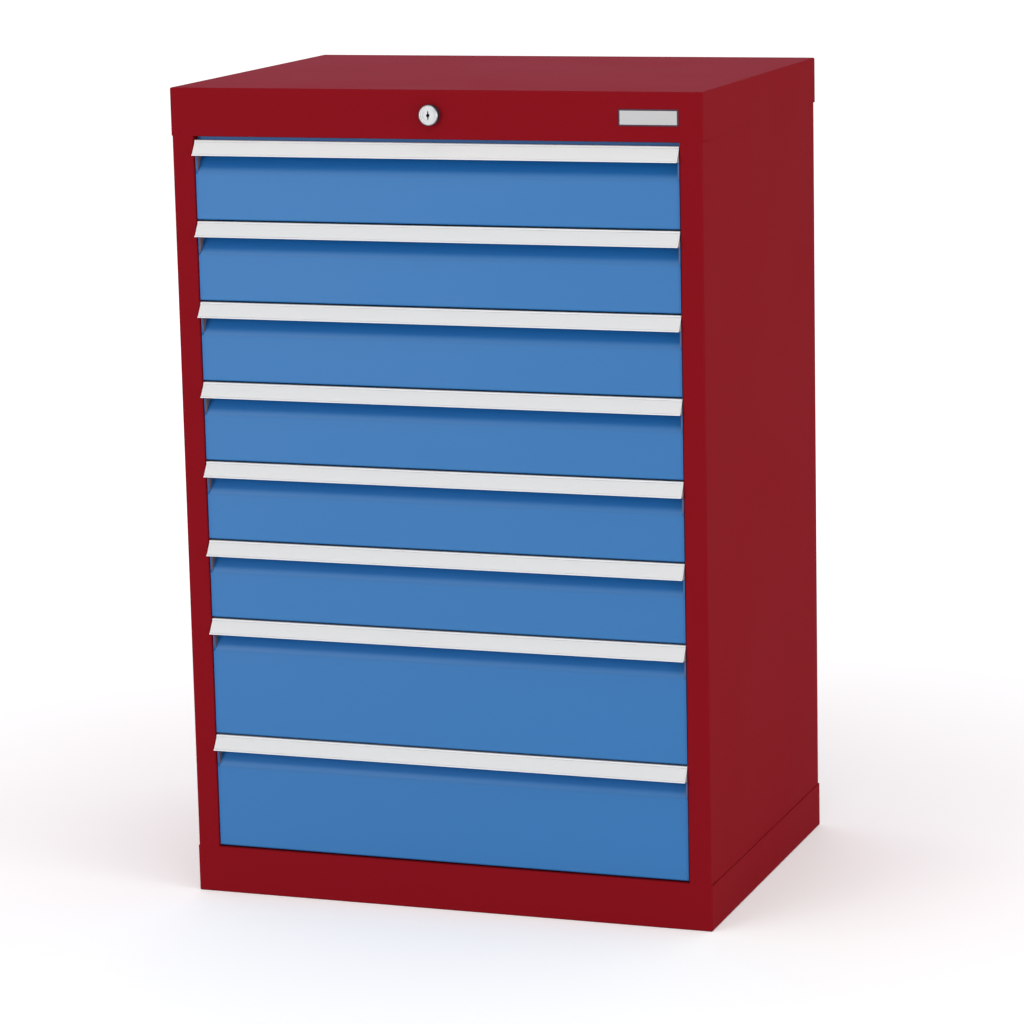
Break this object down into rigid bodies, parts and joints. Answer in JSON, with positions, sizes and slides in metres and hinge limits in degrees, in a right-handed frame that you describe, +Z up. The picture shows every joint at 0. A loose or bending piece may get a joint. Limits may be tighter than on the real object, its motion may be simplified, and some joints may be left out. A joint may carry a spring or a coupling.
{
  "type": "drawer cabinet",
  "caption": "Free-standing steel drawer cabinet: a folded body with full-width fronts under continuous grip strips, telescopic slides, and a central lock over the drawers.",
  "frame": {"origin": "on the floor, at the middle of the overall width and depth, handles included", "axes": "+X to the right seen from the front, +Y to the back, +Z up; the drawers open towards -Y"},
  "size_m": [0.68, 0.5092, 1.019],
  "materials": {
    "body_red": "satin powder coat",
    "front_blue": "satin powder coat",
    "tray_grey": "satin powder coat",
    "handle_aluminium": "satin anodised",
    "cap_grey": "moulded",
    "zinc_steel": "zinc plated",
    "lock_chrome": "satin chrome",
    "plate_silver": "satin"
  },
  "bodies": {
    "cabinet": {"top_cover": "body_red", "base_tray": "body_red", "side_panel_right": "body_red", "side_panel_left": "body_red", "back_panel": "body_red", "slide_uprights": "zinc_steel", "cabinet_slides": "zinc_steel", "lock_housing": "lock_chrome", "nameplate": "plate_silver"},
    "drawer_1": {"drawer_1_tray": "tray_grey", "drawer_1_front": "front_blue", "drawer_1_handle": "handle_aluminium", "drawer_1_grip_caps": "cap_grey", "drawer_1_runners": "zinc_steel"},
    "slide_1": {"drawer_1_slide_middle": "zinc_steel"},
    "drawer_2": {"drawer_2_tray": "tray_grey", "drawer_2_front": "front_blue", "drawer_2_handle": "handle_aluminium", "drawer_2_grip_caps": "cap_grey", "drawer_2_runners": "zinc_steel"},
    "slide_2": {"drawer_2_slide_middle": "zinc_steel"},
    "drawer_3": {"drawer_3_tray": "tray_grey", "drawer_3_front": "front_blue", "drawer_3_handle": "handle_aluminium", "drawer_3_grip_caps": "cap_grey", "drawer_3_runners": "zinc_steel"},
    "slide_3": {"drawer_3_slide_middle": "zinc_steel"},
    "drawer_4": {"drawer_4_tray": "tray_grey", "drawer_4_front": "front_blue", "drawer_4_handle": "handle_aluminium", "drawer_4_grip_caps": "cap_grey", "drawer_4_runners": "zinc_steel"},
    "slide_4": {"drawer_4_slide_middle": "zinc_steel"},
    "drawer_5": {"drawer_5_tray": "tray_grey", "drawer_5_front": "front_blue", "drawer_5_handle": "handle_aluminium", "drawer_5_grip_caps": "cap_grey", "drawer_5_runners": "zinc_steel"},
    "slide_5": {"drawer_5_slide_middle": "zinc_steel"},
    "drawer_6": {"drawer_6_tray": "tray_grey", "drawer_6_front": "front_blue", "drawer_6_handle": "handle_aluminium", "drawer_6_grip_caps": "cap_grey", "drawer_6_runners": "zinc_steel"},
    "slide_6": {"drawer_6_slide_middle": "zinc_steel"},
    "drawer_7": {"drawer_7_tray": "tray_grey", "drawer_7_front": "front_blue", "drawer_7_handle": "handle_aluminium", "drawer_7_grip_caps": "cap_grey", "drawer_7_runners": "zinc_steel"},
    "slide_7": {"drawer_7_slide_middle": "zinc_steel"},
    "drawer_8": {"drawer_8_tray": "tray_grey", "drawer_8_front": "front_blue", "drawer_8_handle": "handle_aluminium", "drawer_8_grip_caps": "cap_grey", "drawer_8_runners": "zinc_steel"},
    "slide_8": {"drawer_8_slide_middle": "zinc_steel"},
    "lock": {"lock_plug": "lock_chrome", "lock_shaft": "zinc_steel"},
    "lock_bar": {"lock_bar": "zinc_steel"}
  },
  "joints": [
    {"name": "drawer_1_slide", "type": "slide", "parent": "cabinet", "child": "drawer_1", "axis": [0, -1, 0], "range_m": [0, 0.43]},
    {"name": "slide_1_extend", "type": "slide", "parent": "cabinet", "child": "slide_1", "axis": [0, -1, 0], "range_m": [0, 0.215]},
    {"name": "drawer_2_slide", "type": "slide", "parent": "cabinet", "child": "drawer_2", "axis": [0, -1, 0], "range_m": [0, 0.43]},
    {"name": "slide_2_extend", "type": "slide", "parent": "cabinet", "child": "slide_2", "axis": [0, -1, 0], "range_m": [0, 0.215]},
    {"name": "drawer_3_slide", "type": "slide", "parent": "cabinet", "child": "drawer_3", "axis": [0, -1, 0], "range_m": [0, 0.43]},
    {"name": "slide_3_extend", "type": "slide", "parent": "cabinet", "child": "slide_3", "axis": [0, -1, 0], "range_m": [0, 0.215]},
    {"name": "drawer_4_slide", "type": "slide", "parent": "cabinet", "child": "drawer_4", "axis": [0, -1, 0], "range_m": [0, 0.43]},
    {"name": "slide_4_extend", "type": "slide", "parent": "cabinet", "child": "slide_4", "axis": [0, -1, 0], "range_m": [0, 0.215]},
    {"name": "drawer_5_slide", "type": "slide", "parent": "cabinet", "child": "drawer_5", "axis": [0, -1, 0], "range_m": [0, 0.43]},
    {"name": "slide_5_extend", "type": "slide", "parent": "cabinet", "child": "slide_5", "axis": [0, -1, 0], "range_m": [0, 0.215]},
    {"name": "drawer_6_slide", "type": "slide", "parent": "cabinet", "child": "drawer_6", "axis": [0, -1, 0], "range_m": [0, 0.43]},
    {"name": "slide_6_extend", "type": "slide", "parent": "cabinet", "child": "slide_6", "axis": [0, -1, 0], "range_m": [0, 0.215]},
    {"name": "drawer_7_slide", "type": "slide", "parent": "cabinet", "child": "drawer_7", "axis": [0, -1, 0], "range_m": [0, 0.43]},
    {"name": "slide_7_extend", "type": "slide", "parent": "cabinet", "child": "slide_7", "axis": [0, -1, 0], "range_m": [0, 0.215]},
    {"name": "drawer_8_slide", "type": "slide", "parent": "cabinet", "child": "drawer_8", "axis": [0, -1, 0], "range_m": [0, 0.43]},
    {"name": "slide_8_extend", "type": "slide", "parent": "cabinet", "child": "slide_8", "axis": [0, -1, 0], "range_m": [0, 0.215]},
    {"name": "lock_turn", "type": "hinge", "parent": "cabinet", "child": "lock", "pos_m": [0, -0.24542, 0.989], "axis": [0, 1, 0], "range_deg": [0, 90]},
    {"name": "lock_bar_lift", "type": "slide", "parent": "cabinet", "child": "lock_bar", "axis": [0, 0, 1], "range_m": [0, 0.01131]}
  ],
  "couplings": [
    {"joint": "slide_1_extend", "follows": "drawer_1_slide", "ratio": 0.5},
    {"joint": "slide_2_extend", "follows": "drawer_2_slide", "ratio": 0.5},
    {"joint": "slide_3_extend", "follows": "drawer_3_slide", "ratio": 0.5},
    {"joint": "slide_4_extend", "follows": "drawer_4_slide", "ratio": 0.5},
    {"joint": "slide_5_extend", "follows": "drawer_5_slide", "ratio": 0.5},
    {"joint": "slide_6_extend", "follows": "drawer_6_slide", "ratio": 0.5},
    {"joint": "slide_7_extend", "follows": "drawer_7_slide", "ratio": 0.5},
    {"joint": "slide_8_extend", "follows": "drawer_8_slide", "ratio": 0.5},
    {"joint": "lock_turn", "follows": "lock_bar_lift", "rad_per_m": 138.84}
  ]
}
